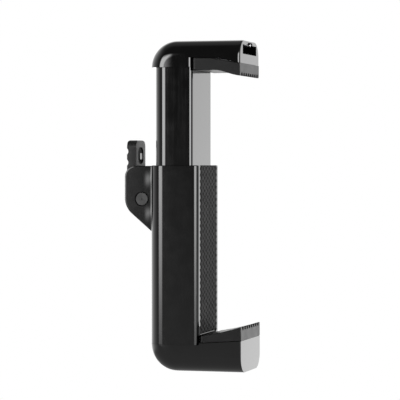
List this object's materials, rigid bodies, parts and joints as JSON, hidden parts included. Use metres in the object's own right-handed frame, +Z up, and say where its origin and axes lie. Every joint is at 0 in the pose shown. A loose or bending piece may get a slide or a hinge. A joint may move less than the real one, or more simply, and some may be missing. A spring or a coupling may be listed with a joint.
{
  "type": "selfie stick phone clamp",
  "caption": "C-shaped sliding phone clamp head of a selfie stick, with rubber jaw pads, a telescoping rail and a rear cam-lock lever.",
  "frame": {"origin": "middle of the bounding box's footprint, on the plane of the bottom jaw's flat underside", "axes": "+Z up along the rail's slide, -Y the way the jaws point (the phone's side), +Y towards the cam lever, X across the width"},
  "size_m": [0.028, 0.0456, 0.12],
  "materials": {
    "satin_shell": "satin moulded black",
    "gloss_shell": "polished black",
    "rail_gloss": "polished black, drawn lengthwise",
    "lever_plastic": "satin moulded black",
    "pad_rubber": "smooth, ribbed at the tip",
    "textured_rubber": "dimpled",
    "steel": "bright",
    "black_steel": "black oxide",
    "brass": "turned",
    "acetal": "natural"
  },
  "bodies": {
    "lower_clamp": {"housing": "satin_shell", "back_pad": "textured_rubber", "bottom_jaw": "gloss_shell", "bottom_jaw_pad": "pad_rubber", "thread_insert": "brass", "bottom_jaw_screw_left": "black_steel", "bottom_jaw_screw_right": "black_steel", "spring_anchor_lower": "steel", "lever_pin": "black_steel", "jaw_spring": "steel"},
    "slider": {"rail": "rail_gloss", "rail_foot": "acetal", "top_jaw": "gloss_shell", "top_jaw_pad": "pad_rubber", "top_jaw_screw_left": "black_steel", "top_jaw_screw_right": "black_steel", "spring_anchor_upper": "steel", "stop_screw": "black_steel", "slot_catch_pin": "steel"},
    "lever": {"cam_lever": "lever_plastic"},
    "brake": {"brake_shoe": "black_steel", "brake_facing": "pad_rubber"}
  },
  "joints": [
    {"name": "jaw_slide", "type": "slide", "parent": "lower_clamp", "child": "slider", "axis": [0, 0, 1], "range_m": [-0.034, 0], "deforming": ["jaw_spring"]},
    {"name": "lever_swing", "type": "hinge", "parent": "lower_clamp", "child": "lever", "pos_m": [0, 0.0162, 0.0625], "axis": [-1, 0, 0], "range_deg": [0, 100]},
    {"name": "brake_travel", "type": "slide", "parent": "lower_clamp", "child": "brake", "axis": [0, 1, 0], "range_m": [0, 0.00051]}
  ],
  "couplings": [
    {"joint": "brake_travel", "follows": "lever_swing", "m_per_rad": 0.000286}
  ]
}
